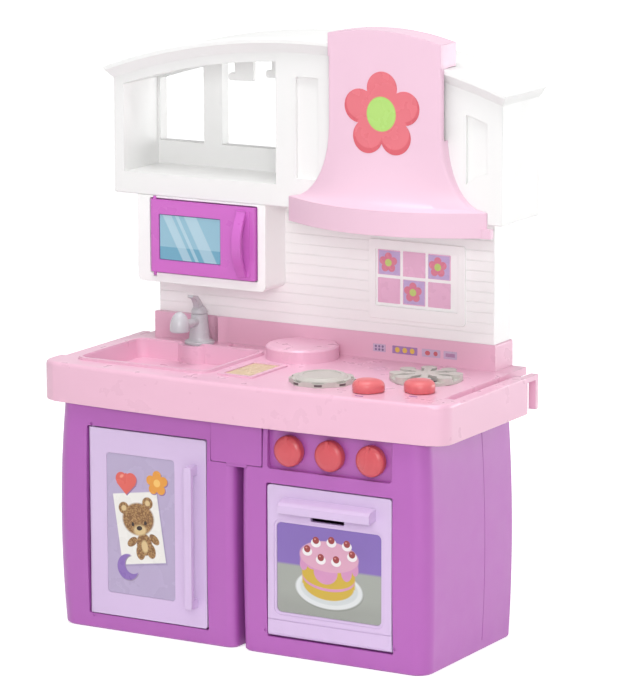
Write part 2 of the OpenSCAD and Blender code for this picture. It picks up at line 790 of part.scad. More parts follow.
module hood_form(grow) {
    zs = concat([hood_z, hood_z + band_h],
        [for (i = [1:10]) hood_z + band_h + flare_h*pow(i/10, 1.4)]);
    top = roof_z + crown_rise;
    loft(concat([for (z = zs) at_z(hood_outline(z, grow), z)],
        [at_z(hood_outline(top, grow), top)]));
}

// Height of the hood's arched top over a place x
function crown_at(x) = roof_z + crown_rise - crown_r
    + sqrt(crown_r*crown_r - pow(x - hood_x + crown_peak, 2));

// Region under the hood's arched top, lowered by drop, between x0 and x1
module crown_arch(x0, x1, z0, drop, y0, y1) {
    n = 18;
    translate([0, y1, 0]) rotate([90, 0, 0]) linear_extrude(y1 - y0)
        polygon(concat([[x0, z0], [x1, z0]],
            [for (i = [0:n]) let (x = x1 - (x1 - x0)*i/n) [x, crown_at(x) - drop]]));
}

// Cap of the hood: an arched block that reaches back over the roof
module crown_form() {
    half = hood_w/2;
    y0 = up_y0 - fit_gap - hood_reach + 0.5;
    difference() {
        crown_arch(hood_x - half + 0.5, hood_x + half - 0.5, up_z + 100, 0,
            y0, up_y0 + crown_back);
        crown_arch(hood_x - half - 1, hood_x + half + 1, up_z + 90, crown_drop,
            y0 - 1, up_y0 + crown_back + 1);
    }
}

module hood() color(pink) on_origin() {
    half = hood_flare_w/2 + 10;
    foot_x = hood_x + hood_skew + hood_flare_w/2;
    difference() {
        union() {
            intersection() {
                difference() {
                    hood_form(0);
                    hood_form(-hood_t);
                    box(hood_x - hood_w/2 + hood_t, hood_x + hood_w/2 - hood_t,
                        up_y0 - hood_reach + hood_t, up_y0 + 1, hood_z - 1,
                        hood_z + band_h + flare_h);
                }
                crown_arch(hood_x - half, hood_x + half, hood_z - 1, 0.5,
                    up_y0 - 80, up_y0 + 1);
            }
            crown_form();
            // small foot at the right end of the lower band
            box(foot_x - 6, foot_x + 10, up_y0 - 9, up_y0 - fit_gap, hood_z, hood_z + 14);
        }
        // room for the cabinet's front, cornice and roof
        translate([0, 0, fit_gap]) arch_xz(roof_half, roof_z - 140, 0,
            up_y0 - cornice - fit_gap, up_y0 + crown_back + 5);
    }
}

// ---------------------------------------------------------------- doors

module door_slab(x0, x1, z0, z1, y, t, r) {
    plate_xz(x0, x1, z0, z1, y, y + t, r);
}

module fridge_door() color(lilac) on_origin() {
    x0 = -door_x1;
    x1 = -door_x0;
    z0 = fridge_door_z;
    z1 = z0 + fridge_door_h;
    ax = x0 + pivot_in;
    ay = door_y + pivot_in;
    bar_x0 = x1 - 27.5;
    bar_w = 13;
    difference() {
        union() {
            difference() {
                door_slab(x0 + pivot_in, x1, z0, z1, door_y, door_t, 4);
                box(x0 - 1, ax, door_y - 1, door_y + door_t + 1, z0 - 1, z1 + 1);
            }
            rod_z(ax, ay, z0, z1, pivot_in);
            box(ax, ax + 12, door_y, door_y + door_t, z0, z1);
            rod_z(ax, ay, z0 - 7, z1 + 7, pin_r);
            // handle bar with a foot at each end
            plate_xz(bar_x0, bar_x0 + bar_w, z0 + 32, z0 + 255, door_y - handle_reach,
                door_y - handle_reach + 7, 3);
            for (z = [z0 + 32, z0 + 241])
                box(bar_x0 + 1, bar_x0 + bar_w - 1, door_y - handle_reach + 3, door_y + 1, z, z + 14);
        }
        // hollow at the back of the door
        plate_xz(ax + 14, x1 - 5, z0 + 6, z1 - 6, door_y + 5, door_y + door_t + 1, 4);
        // shallow seat of the picture
        plate_xz(x0 + 34, x0 + 157, z0 + 36, z0 + 258, door_y - 1, door_y + 1.2, 5);
    }
}

module oven_door() color(lilac) on_origin() {
    x0 = door_x0;
    x1 = door_x1;
    z0 = oven_door_z;
    z1 = z0 + oven_door_h;
    ay = door_y + pivot_in;
    az = z0 + sill_r;
    difference() {
        union() {
            difference() {
                door_slab(x0, x1, z0, z1, door_y, door_t, 5);
                box(x0 - 1, x1 + 1, door_y - 1, door_y + door_t + 1, z0 - 1, az);
            }
            rod_x(x0, x1, ay, az, sill_r);
            box(x0, x1, door_y, door_y + door_t, az, az + 12);
            rod_x(x0 - 7, x1 + 7, ay, az, pin_r);
            // hooded handle, open underneath
            translate([x0 + 29, 0, 0]) rotate([90, 0, 90]) linear_extrude(door_w - 56)
                polygon([[door_y + 1, z1 - 17], [door_y - handle_reach + 5, z1 - 21],
                    [door_y - handle_reach, z1 - 26], [door_y - handle_reach, z1 - 38],
                    [door_y - handle_reach + 4, z1 - 38], [door_y - handle_reach + 5, z1 - 28],
                    [door_y + 1, z1 - 24]]);
            for (x = [x0 + 29, x1 - 32])
                translate([x, 0, 0]) rotate([90, 0, 90]) linear_extrude(5)
                    polygon([[door_y + 1, z1 - 17], [door_y - handle_reach + 4, z1 - 22],
                        [door_y - handle_reach + 1, z1 - 37], [door_y + 1, z1 - 36]]);
        }
        plate_xz(x0 + 6, x1 - 6, z0 + 20, z1 - 6, door_y + 6.5, door_y + door_t + 1, 4);
        // seat of the window picture
        plate_xz(x0 + 15, x1 - 18, z0 + 39, z0 + 179, door_y - 1, door_y + 3, 8);
        plate_xz(x0 + 11, x1 - 14, z0 + 35, z0 + 183, door_y - 1, door_y + 1.2, 11);
        // finger slot under the handle and the fold line above the hinge
        plate_xz(x0 + 75, x0 + 133, z0 + 186, z0 + 193.5, door_y - 1, door_y + door_t, 2);
        box(x0 - 1, x1 + 1, door_y - 1, door_y + 0.8, z0 + 26, z0 + 27.5);
    }
}

module microwave_door() color("#c668c4") on_origin() {
    x0 = mw_door_x0;
    x1 = x0 + mw_door_w;
    z0 = mw_door_z0;
    z1 = z0 + mw_door_h;
    y = mw_door_y;
    ax = x0 + mw_pivot;
    ay = y + mw_pivot;
    bar_x = x1 - 30;
    reach = 17;
    n = 8;
    difference() {
        union() {
            door_slab(x0 + mw_pivot, x1, z0, z1, y, mw_door_t, 2);
            rod_z(ax, ay, z0, z1, mw_pivot);
            box(ax, ax + 9, y, y + mw_door_t, z0, z1);
            rod_z(ax, ay, z0 - 6, min(z1 + 4.4, wall_top - move_gap), pin_r);
            // bowed handle
            translate([bar_x, 0, 0]) rotate([90, 0, 90]) linear_extrude(16)
                polygon(concat(
                    [for (i = [0:n]) let (s = -1 + 2*i/n)
                        [y - reach*(1 - s*s) + 1 - 5, z0 + mw_door_h/2 + 50*s]],
                    [for (i = [n:-1:0]) let (s = -1 + 2*i/n)
                        [min(y + 2, y - reach*(1 - s*s) + 1), z0 + mw_door_h/2 + 50*s]]));
            plate_xz(bar_x - 3, bar_x + 22, z0 + mw_door_h/2 - 52, z0 + mw_door_h/2 + 52,
                y - 1.5, y + 1, 3);
            for (z = [z0 + 6, z1 - 14])
                box(bar_x, bar_x + 16, y - 5, y + 1, z, z + 8);
        }
        plate_xz(ax + 10, x1 - 4, z0 + 5, z1 - 5, y + 5, y + mw_door_t + 1, 3);
        plate_xz(x0 + 18, x0 + 131, z0 + 20, z0 + 93, y - 1, y + 2, 1.5);
    }
}

// ---------------------------------------------------------------- knobs

// Oven control knob: a domed disc with a pointer ridge, on a stem along Y
module control_knob(x) {
    y0 = panel_y - move_gap;
    difference() {
        translate([x, y0, knob_z]) rotate([90, 0, 0]) union() {
            rotate_extrude() polygon([[0, 0], [knob_r - 1.5, 0], [knob_r, 2],
                [knob_r, 9], [knob_r - 1.2, 12], [knob_r - 5, 15], [knob_r - 12, 17.4],
                [knob_r - 19, 18.2], [0, 18.4]]);
            translate([-2.2, knob_r*0.3, 8]) cube([4.4, knob_r*0.68, 9]);
        }
        rod_y(x, y0 - 12, y0 + 1, knob_z, 1.5);
    }
    difference() {
        rod_y(x, y0 - eps, panel_y + wall + move_gap, knob_z, stem_r);
        rod_y(x, y0 - 12, panel_y + wall + 2, knob_z, 1.5);
    }
}

module control_screw(x) {
    head_y = panel_y + wall + move_gap;
    translate([x, head_y, knob_z]) rotate([90, 0, 0]) screw(1.45, 16, 8, 2);
}

module control_knob_left() color(coral) on_origin() control_knob(knob_x - knob_pitch);
module control_knob_middle() color(coral) on_origin() control_knob(knob_x);
module control_knob_right() color(coral) on_origin() control_knob(knob_x + knob_pitch);
module control_screw_left() color(steel) on_origin() control_screw(knob_x - knob_pitch);
module control_screw_middle() color(steel) on_origin() control_screw(knob_x);
module control_screw_right() color(steel) on_origin() control_screw(knob_x + knob_pitch);

// Hob knob: a round body with a pointed nose, on a stem along Z
module hob_knob(k) {
    z0 = top_z + move_gap;
    difference() {
        union() {
            translate([k[0], k[1], z0]) rotate(k[2]) {
                linear_extrude(3) hob_knob_plan(-1);
                translate([0, 0, 3]) linear_extrude(hob_knob_h - 7) hob_knob_plan(0);
                translate([0, 0, hob_knob_h - 4]) linear_extrude(2.2) hob_knob_plan(1.5);
                translate([0, 0, hob_knob_h - 2]) linear_extrude(2) hob_knob_plan(4);
            }
            rod_z(k[0], k[1], deck_under - move_gap, z0 + 1, stem_r);
        }
        rod_z(k[0], k[1], deck_under - move_gap - 1, z0 + 4, 1.5);
    }
}

module hob_knob_plan(inset) {
    r = hob_knob_r - inset;
    circle(r);
    polygon([[r*cos(50), r*sin(50)], [r*1.28, 0], [r*cos(50), -r*sin(50)]]);
}

module hob_screw(k) {
    translate([k[0], k[1], deck_under - move_gap]) screw(1.45, 13, 8, 2);
}

module hob_knob_left() color(coral) on_origin() hob_knob(hob_knobs[0]);
module hob_knob_right() color(coral) on_origin() hob_knob(hob_knobs[1]);
module hob_screw_left() color(steel) on_origin() hob_screw(hob_knobs[0]);
module hob_screw_right() color(steel) on_origin() hob_screw(hob_knobs[1]);

// ---------------------------------------------------------------- hob

// Solid hotplate: a low disc with a notched rim, slots and a raised middle
module hotplate() color("#bab7ae") on_origin() {
    notches = 8;
    translate([hotplate_x, hotplate_y, top_z]) difference() {
        union() {
            cylinder(h = 8, r = hotplate_r - 2);
            for (i = [0:notches - 1]) rotate((i + 0.5)*360/notches)
                translate([hotplate_r - 16, 0, 0]) cylinder(h = 6, r = 17);
            translate([0, 0, 7]) cylinder(h = 5, r1 = hotplate_r - 9, r2 = hotplate_r - 15);
        }
        for (i = [0:notches - 1]) rotate((i + 0.5)*360/notches)
            translate([hotplate_r - 6, -8, 5]) cube([4, 16, 4]);
        translate([0, 0, 11]) cylinder(h = 2, r = hotplate_r - 21);
    }
}

// Burner grate: a low ring with broad arms that end in round pads
module burner_grate() color("#bab7ae") on_origin() {
    arms = 8;
    translate([grate_x, grate_y, top_z]) {
        difference() {
            cylinder(h = 5, r = grate_r - 3);
            translate([0, 0, -1]) cylinder(h = 7, r = grate_r - 15);
        }
        cylinder(h = 10, r = 12);
        for (i = [0:arms - 1]) rotate((i + 0.5)*360/arms) {
            translate([0, -5.5, 3]) cube([grate_r - 12, 11, 8]);
            translate([grate_r - 13, 0, 1]) cylinder(h = 10, r = 12);
        }
    }
}

// ---------------------------------------------------------------- tap

module tap_body() color(steel) on_origin() {
    z0 = top_z + fit_gap;
    difference() {
        union() {
            translate([tap_x, tap_y, 0]) rotate_extrude() polygon([[0, z0],
                [tap_foot_r, z0], [tap_foot_r, z0 + 3], [tap_foot_r - 2, z0 + 4.5],
                [tap_foot_r - 5, z0 + 5.5], [tap_foot_r - 7, z0 + 8],
                [tap_neck_r + 2.5, z0 + 20], [tap_neck_r, tap_seam - 1],
                [tap_neck_r - 1, tap_seam], [0, tap_seam]]);
            rod_z(tap_x, tap_y, tap_stem_z, z0 + 1, tap_stem_r);
            rod_y(tap_x, tap_y - spout_reach + 4, tap_y - 9, spout_z, 7);
            // domed spout head with a flat mouth
            translate([tap_x, tap_y - spout_reach, 0]) rotate_extrude() polygon(concat(
                [[0, tap_seam - 20], [14, tap_seam - 20], [15.5, tap_seam - 18]],
                [for (i = [0:7]) let (a = i*90/7)
                    [15.5*cos(a), tap_seam - 14 + 26*sin(a)]]));
        }
        rod_z(tap_x, tap_y, tap_seam - 10, tap_seam + 1, 6 + run_gap);
        rod_z(tap_x, tap_y - spout_reach, tap_seam - 21, tap_seam - 19, 9);
    }
}

module tap_nut() color(white) on_origin() {
    difference() {
        union() {
            rod_z(tap_x, tap_y, deck_under - 9 - move_gap, deck_under - move_gap, 15);
            rod_z(tap_x, tap_y, deck_under - 3 - move_gap, deck_under - move_gap, 19);
        }
        rod_z(tap_x, tap_y, deck_under - 20, deck_under + 1, tap_stem_r + run_gap);
    }
}

module tap_lever() color(steel) on_origin() {
    z0 = tap_seam + fit_gap;
    r = tap_neck_r;
    union() {
        translate([tap_x, tap_y, 0]) rotate_extrude() polygon(concat(
            [[0, z0], [r - 0.5, z0]],
            [for (i = [0:7]) let (a = i*90/7) [r*cos(a), z0 + 2 + 11*sin(a)]]));
        rod_z(tap_x, tap_y, tap_seam - 9, z0 + 1, 6);
        translate([tap_x - 5, 0, 0]) rotate([90, 0, 90]) linear_extrude(10)
            polygon([[tap_y + 8, z0 + 5], [tap_y + 4, z0 + 12], [tap_y - 4, z0 + 22],
                [tap_y - 12, z0 + 30], [tap_y - 26, z0 + 33], [tap_y - 27, z0 + 29],
                [tap_y - 17, z0 + 25], [tap_y - 11, z0 + 16], [tap_y - 9, z0 + 5]]);
    }
}

// ---------------------------------------------------------------- stickers

module fridge_sticker() color("#b5a8c6") on_origin() {
    x0 = -door_x1;
    y = door_y + 1.2;
    plate_xz(x0 + 34.5, x0 + 156.5, fridge_door_z + 36.5, fridge_door_z + 257.5,
        y - film, y, 4.5);
}

module oven_sticker() color("#8a6cb8") on_origin() {
    y = door_y + 3;
    plate_xz(door_x0 + 15.5, door_x1 - 18.5, oven_door_z + 39.5, oven_door_z + 178.5,
        y - film, y, 7.5);
}

module microwave_sticker() color("#8fbcd0") on_origin() {
    y = mw_door_y + 2;
    plate_xz(mw_door_x0 + 18.5, mw_door_x0 + 130.5, mw_door_z0 + 20.5, mw_door_z0 + 92.5,
        y - film, y, 1);
}

module flower_plan(size) {
    for (i = [0:4]) rotate(90 + i*72) translate([size*0.58, 0]) circle(size*0.37);
    circle(size*0.5);
}

module hood_flower_sticker() color("#e0707c") on_origin() {
    intersection() {
        translate([hood_x - 3, up_y0, flower_z]) rotate([90, 0, 0])
            linear_extrude(60) flower_plan(70);
        difference() {
            hood_form(film);
            hood_form(0);
        }
    }
}

module window_tile_sticker() color("#b9a3d8") on_origin() {
    for (i = [0:2], j = [0:1])
        plate_xz(tile_x0 + i*(tile + tile_gap), tile_x0 + i*(tile + tile_gap) + tile,
            tile_z0 + j*(tile + tile_gap), tile_z0 + j*(tile + tile_gap) + tile,
            wall_y0 - film, wall_y0, 1);
}

module chopping_board_sticker() color("#dcc8a2") on_origin() {
    plate_xy(board_x - board_w/2 + 0.5, board_x + board_w/2 - 0.5,
        board_y - board_l/2 + 0.5, board_y + board_l/2 - 0.5,
        top_z + 0.6, top_z + 0.6 + film, 1.5);
}

module sink_sticker() color("#d9d5de") on_origin() {
    difference() {
        plate_xy(sink_x0 + 34, sink_x0 + sink_w - 34, sink_y0 + 30, sink_y1 - 50, sink_z,
            sink_z + film, 20);
        tap_boss(1, sink_z - 1, sink_z + 2);
    }
}

module burner_sticker() color("#5d2a63") on_origin() {
    translate([grate_x, grate_y, top_z]) difference() {
        cylinder(h = film, r = grate_r - 15.5);
        translate([0, 0, -1]) cylinder(h = 3, r = 12.5);
    }
}

module keypad_stickers() color("#c9b2cc") on_origin() {
    strips = [[90, 22], [124, 44], [176, 32], [214, 23]];
    for (s = strips)
        plate_xz(s[0], s[0] + s[1], top_z + 12, top_z + 24, splash_y - film, splash_y, 1);
}

module dial_mark_stickers() color("#a06bb0") on_origin() {
    for (k = hob_knobs)
        plate_xy(k[0] - 2, k[0] + 12, k[1] - hob_knob_r - 12, k[1] - hob_knob_r - 9,
            top_z, top_z + film, 1);
}

// ---------------------------------------------------------------- fasteners

module worktop_screws() color(steel) on_origin() {
    for (m = [0, 1], p = worktop_screw_at) mirror([m, 0, 0])
        translate([p[0], p[1], base_h - wall]) screw(1.85, 20, 4, 2.5);
}

module wall_screws() color(steel) on_origin() {
    for (p = wall_screw_at) translate([p, wall_y1, splash_z + tongue_h/2])
        rotate([90, 0, 0]) screw(1.35, 10, 3.5, 2);
}

module upper_screws() color(steel) on_origin() {
    for (p = upper_screw_at) translate([p, wall_y1, up_z - upper_tongue/2])
        rotate([90, 0, 0]) screw(1.35, 10, 3.5, 2);
}

left_cabinet();
right_cabinet();
bridge_plate();
worktop();
back_wall();
upper_cabinet();
hood();
fridge_door();
oven_door();
microwave_door();
control_knob_left();
control_knob_middle();
control_knob_right();
control_screw_left();
control_screw_middle();
control_screw_right();
hob_knob_left();
hob_knob_right();
hob_screw_left();
hob_screw_right();
hotplate();
burner_grate();
tap_body();
tap_nut();
tap_lever();
fridge_sticker();
oven_sticker();
microwave_sticker();
hood_flower_sticker();
window_tile_sticker();
chopping_board_sticker();
sink_sticker();
burner_sticker();
keypad_stickers();
dial_mark_stickers();
worktop_screws();
wall_screws();
upper_screws();
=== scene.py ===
"""Looks of the toy play kitchen: materials, printed pictures, lights and camera.

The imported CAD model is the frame. Everything is in metres, X right, Y back, Z up.
"""

import math

import bmesh
import bpy
from mathutils import Matrix, Vector


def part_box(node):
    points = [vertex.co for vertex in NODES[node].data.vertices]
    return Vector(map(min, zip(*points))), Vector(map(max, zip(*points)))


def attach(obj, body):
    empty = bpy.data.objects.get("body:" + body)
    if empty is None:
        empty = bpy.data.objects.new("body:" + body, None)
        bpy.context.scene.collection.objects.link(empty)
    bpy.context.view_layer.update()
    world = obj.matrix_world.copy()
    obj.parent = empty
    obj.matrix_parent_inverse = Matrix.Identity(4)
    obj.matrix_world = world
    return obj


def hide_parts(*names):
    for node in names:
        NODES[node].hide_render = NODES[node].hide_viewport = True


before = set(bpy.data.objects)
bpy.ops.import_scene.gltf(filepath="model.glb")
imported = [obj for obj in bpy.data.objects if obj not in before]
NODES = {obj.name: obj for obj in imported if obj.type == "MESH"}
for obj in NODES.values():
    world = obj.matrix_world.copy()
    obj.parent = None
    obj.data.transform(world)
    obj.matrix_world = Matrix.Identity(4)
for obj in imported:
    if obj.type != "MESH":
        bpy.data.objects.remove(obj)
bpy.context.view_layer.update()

# surface of the mouldings
GRAIN_SCALE = 700
GRAIN_DEPTH = 0.0004
SOFT_EDGE = 0.0012
NOISE_LOW, NOISE_HIGH = 0.3, 0.7    # the range that most of a noise texture lies in

# ------------------------------------------------------------------ colours


def srgb(text):
    """Linear RGBA from a #rrggbb colour."""
    out = []
    for i in (1, 3, 5):
        v = int(text[i:i + 2], 16) / 255
        out.append(v / 12.92 if v <= 0.04045 else ((v + 0.055) / 1.055) ** 2.4)
    return (*out, 1.0)


def scaled(colour, k):
    return (*(min(1.0, c * k) for c in colour[:3]), 1.0)


# ------------------------------------------------------------------ node helpers


class Mat:
    """A procedural material under construction."""

    def __init__(self, name):
        self.mat = bpy.data.materials.new(name)
        self.mat.use_nodes = True
        self.tree = self.mat.node_tree
        self.bsdf = self.tree.nodes["Principled BSDF"]
        self.place = self.node("ShaderNodeTexCoord").outputs["Object"]

    def node(self, kind, **settings):
        n = self.tree.nodes.new(kind)
        for k, v in settings.items():
            setattr(n, k, v)
        return n

    def link(self, a, b):
        self.tree.links.new(a, b)

    def put(self, socket, value):
        """Links an output, or sets a constant."""
        if isinstance(value, bpy.types.NodeSocket):
            self.link(value, socket)
        else:
            socket.default_value = value

    def math(self, op, a, b=0.0):
        n = self.node("ShaderNodeMath", operation=op)
        for s, v in zip(n.inputs, (a, b)):
            self.put(s, v)
        return n.outputs[0]

    def noise(self, scale, detail, where=None):
        n = self.node("ShaderNodeTexNoise")
        n.inputs["Scale"].default_value = scale
        n.inputs["Detail"].default_value = detail
        self.link(where or self.place, n.inputs["Vector"])
        return n.outputs["Fac"]

    def remap(self, value, a0, a1, b0, b1):
        n = self.node("ShaderNodeMapRange")
        for s, v in zip(n.inputs, (value, a0, a1, b0, b1)):
            self.put(s, v)
        return n.outputs[0]

    def cloud(self, scale, detail, low=0.0, high=1.0, where=None):
        """Soft patches between two levels."""
        fac = self.noise(scale, detail, where)
        return self.remap(fac, NOISE_LOW, NOISE_HIGH, low, high)

    def mix(self, fac, a, b, blend="MIX"):
        n = self.node("ShaderNodeMix", data_type="RGBA", blend_type=blend)
        self.put(n.inputs[0], fac)
        self.put(n.inputs[6], a)
        self.put(n.inputs[7], b)
        return n.outputs[2]

    def finish(self, colour, rough, grain, bump, edge=SOFT_EDGE, coat=0.0, glow=0.0):
        """Connects colour, roughness, fine surface grain and softened edges."""
        b = self.bsdf
        self.put(b.inputs["Base Color"], colour)
        self.put(b.inputs["Roughness"], self.cloud(28, 3, *rough))
        b.inputs["Coat Weight"].default_value = coat
        b.inputs["Coat Roughness"].default_value = 0.2
        b.inputs["IOR"].default_value = 1.46
        n = self.node("ShaderNodeBump")
        n.inputs["Strength"].default_value = bump
        n.inputs["Distance"].default_value = GRAIN_DEPTH
        self.link(self.noise(grain, 2), n.inputs["Height"])
        if edge:
            soft = self.node("ShaderNodeBevel", samples=4)
            soft.inputs["Radius"].default_value = edge
            self.link(soft.outputs["Normal"], n.inputs["Normal"])
        self.link(n.outputs["Normal"], b.inputs["Normal"])
        if glow:
            b.inputs["Subsurface Weight"].default_value = glow
            b.inputs["Subsurface Radius"].default_value = (0.004, 0.003, 0.003)
        return self.mat


def plastic(name, tone, rough, bump=0.12, vary=0.035, coat=0.0, glow=0.0):
    """Moulded plastic: uneven tone, slight flow marks and a fine surface grain."""
    m = Mat(name)
    c = srgb(tone)
    colour = m.mix(m.cloud(5, 3), scaled(c, 1 - vary), scaled(c, 1 + vary))
    return m.finish(colour, rough, GRAIN_SCALE, bump, coat=coat, glow=glow)


class Print(Mat):
    """A printed film: flat shapes painted in the plane of the film."""

    def __init__(self, name, node, up="z"):
        super().__init__(name)
        lo, hi = (Vector(corner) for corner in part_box(node))
        mid, half = (lo + hi) / 2, (hi - lo) / 2
        self.half = (half.x, getattr(half, up))
        s = self.node("ShaderNodeSeparateXYZ")
        self.link(self.place, s.inputs[0])
        c = self.node("ShaderNodeCombineXYZ")
        self.link(self.math("SUBTRACT", s.outputs["X"], mid.x), c.inputs[0])
        self.link(self.math("SUBTRACT", s.outputs[up.upper()], getattr(mid, up)), c.inputs[1])
        self.flat = c.outputs[0]
        self.colour = (1, 1, 1, 1)

    def inside(self, x, y, w, h, turn=0.0):
        """Position in a shape's own unit frame: centre x, y and half sizes w, h."""
        n = self.node("ShaderNodeMapping", vector_type="TEXTURE")
        n.inputs["Location"].default_value = (x, y, 0)
        n.inputs["Rotation"].default_value = (0, 0, math.radians(turn))
        n.inputs["Scale"].default_value = (w, h, 1)
        self.link(self.flat, n.inputs["Vector"])
        return n.outputs[0]

    def ellipse(self, x, y, w, h=None, turn=0.0, soft=0.03):
        n = self.node("ShaderNodeVectorMath", operation="LENGTH")
        self.link(self.inside(x, y, w, h or w, turn), n.inputs[0])
        return self.remap(n.outputs["Value"], 1 + soft, 1 - soft, 0.0, 1.0)

    def block(self, x, y, w, h, turn=0.0, soft=0.03):
        s = self.node("ShaderNodeSeparateXYZ")
        self.link(self.inside(x, y, w, h, turn), s.inputs[0])
        far = self.math("MAXIMUM", self.math("ABSOLUTE", s.outputs[0]),
                        self.math("ABSOLUTE", s.outputs[1]))
        return self.remap(far, 1 + soft, 1 - soft, 0.0, 1.0)

    def petals(self, x, y, r, count=5, turn=90.0, soft=0.04):
        """Flower outline: the union of round petals about a centre."""
        out = None
        for i in range(count):
            a = math.radians(turn + i * 360 / count)
            m = self.ellipse(x + 0.58 * r * math.cos(a), y + 0.58 * r * math.sin(a),
                             0.38 * r, soft=soft)
            out = m if out is None else self.math("MAXIMUM", out, m)
        return self.math("MAXIMUM", out, self.ellipse(x, y, 0.5 * r, soft=soft))

    def lay(self, mask, tone):
        tone = srgb(tone) if isinstance(tone, str) else tone
        self.colour = self.mix(mask, self.colour, tone)

    def done(self, rough=(0.22, 0.32)):
        wear = self.cloud(30, 3, high=0.06)
        colour = self.mix(wear, self.colour, (0.35, 0.3, 0.35, 1), "SOFT_LIGHT")
        return self.finish(colour, rough, grain=500, bump=0.05, edge=0)


def dress(node, mat):
    """Gives a CAD node its material."""
    slots = NODES[node].data.materials
    slots.clear()
    slots.append(mat)


# ------------------------------------------------------------------ CAD finishes

PURPLE = plastic("moulded_purple", "#b35fb5", rough=(0.34, 0.46), vary=0.015, coat=0.25,
                 glow=0.05)
PINK = plastic("glossy_pink", "#ecbbd1", bump=0.02, rough=(0.26, 0.36), vary=0.008, coat=0.15)
HOOD_PINK = plastic("hood_pink", "#ebc6d9", bump=0.02, rough=(0.28, 0.38), vary=0.008)
LILAC = plastic("moulded_lilac", "#d8c1e4", rough=(0.34, 0.44), vary=0.02)
MAGENTA = plastic("glossy_magenta", "#cf6cc8", rough=(0.26, 0.36), vary=0.02)
WHITE = plastic("moulded_white", "#f1f1f0", rough=(0.34, 0.46), vary=0.006)
# the same white painted brighter on the back wall, to offset the shade it stands in
SHADE_LIFTED_WHITE = plastic("white_brightened_against_shade", "#fbfbfa", rough=(0.34, 0.46), vary=0.006)
HOB_CORAL = plastic("light_coral", "#df6f73", rough=(0.26, 0.36), vary=0.02, coat=0.1)
CORAL = plastic("glossy_coral", "#d0525a", rough=(0.26, 0.36), vary=0.02, coat=0.1)
TAUPE = plastic("moulded_grey", "#c4c0ba", rough=(0.4, 0.5), vary=0.02)
SILVER = plastic("silver_plastic", "#c6c6ca", rough=(0.26, 0.36), vary=0.02, coat=0.2)
ZINC = plastic("zinc_plated", "#b4b4b8", rough=(0.25, 0.4))
ZINC.node_tree.nodes["Principled BSDF"].inputs["Metallic"].default_value = 0.9

FINISH = {
    PURPLE: ["left_cabinet", "right_cabinet", "bridge_plate"],
    PINK: ["worktop"],
    HOOD_PINK: ["hood"],
    LILAC: ["fridge_door", "oven_door"],
    MAGENTA: ["microwave_door"],
    WHITE: ["upper_cabinet", "tap_nut"],
    SHADE_LIFTED_WHITE: ["back_wall"],
    TAUPE: ["burner_grate"],
    SILVER: ["tap_body", "tap_lever"],
    CORAL: [n for n in NODES if "_knob_" in n],
    ZINC: [n for n in NODES if "screw" in n],
}
for finish, names in FINISH.items():
    for name in names:
        dress(name, finish)


RIM_SLOTS = 8
RIM_RADIUS = 0.0425
SLOT_LOW, SLOT_HIGH = 0.0018, 0.0052    # above the hotplate's underside
SLOT_WAVE = -0.585                      # each slot is where the wave is below this
BLUR = 0.0002


def hotplate_finish():
    """Grey plastic with painted shade in the slots round the rim."""
    m = Mat("hotplate_grey")
    lo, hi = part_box("hotplate")
    s = m.node("ShaderNodeSeparateXYZ")
    m.link(m.place, s.inputs[0])
    x = m.math("SUBTRACT", s.outputs["X"], (lo.x + hi.x) / 2)
    y = m.math("SUBTRACT", s.outputs["Y"], (lo.y + hi.y) / 2)
    z = m.math("SUBTRACT", s.outputs["Z"], lo.z)
    radius = m.math("SQRT", m.math("ADD", m.math("MULTIPLY", x, x), m.math("MULTIPLY", y, y)))
    wave = m.math("COSINE", m.math("MULTIPLY", m.math("ARCTAN2", y, x), RIM_SLOTS))
    # painted shade: the slots in the rim are darkened in the colour, not by the light
    slot_shade = m.remap(wave, SLOT_WAVE - 0.035, SLOT_WAVE + 0.035, 1.0, 0.0)
    for edge in (m.remap(radius, RIM_RADIUS, RIM_RADIUS + 0.0005, 0.0, 1.0),
                 m.remap(z, SLOT_LOW - BLUR, SLOT_LOW + BLUR, 0.0, 1.0),
                 m.remap(z, SLOT_HIGH - BLUR, SLOT_HIGH + BLUR, 1.0, 0.0)):
        slot_shade = m.math("MULTIPLY", slot_shade, edge)
    tone = m.mix(m.noise(30, 2), srgb("#bdb9b3"), srgb("#c9c5bf"))
    # the dark slot colour is painted shade inside the recesses
    colour = m.mix(slot_shade, tone, srgb("#5b4f52"))
    return m.finish(colour, (0.4, 0.5), GRAIN_SCALE, bump=0.12)


dress("hotplate", hotplate_finish())

# ------------------------------------------------------------------ printed films


def flower_print():
    p = Print("flower_film", "hood_flower_sticker")
    p.colour = srgb("#d65f6b")
    p.lay(p.petals(0, 0.001, 0.0655), "#e2747f")
    p.lay(p.ellipse(-0.001, -0.002, 0.0250, 0.0265), "#a9d868")
    p.lay(p.ellipse(-0.001, -0.002, 0.0235, 0.0250), "#b0d974")
    return p.done()


def microwave_print():
    p = Print("microwave_film", "microwave_sticker")
    w, h = p.half
    p.colour = srgb("#93c0d2")
    p.lay(p.block(0, -0.72 * h, 2 * w, 0.3 * h), "#6da9c2")
    for x, wide in ((-0.42, 0.13), (-0.1, 0.05), (0.34, 0.18)):
        p.lay(p.math("MULTIPLY", p.block(x * w, 0, wide * w, 2 * h, turn=28, soft=0.1), 0.45),
              "#cfe6ee")
    p.lay(p.math("SUBTRACT", 1.0, p.block(0, 0, 0.985 * w, 0.975 * h, soft=0.01)), "#5d5c8a")
    return p.done(rough=(0.12, 0.2))


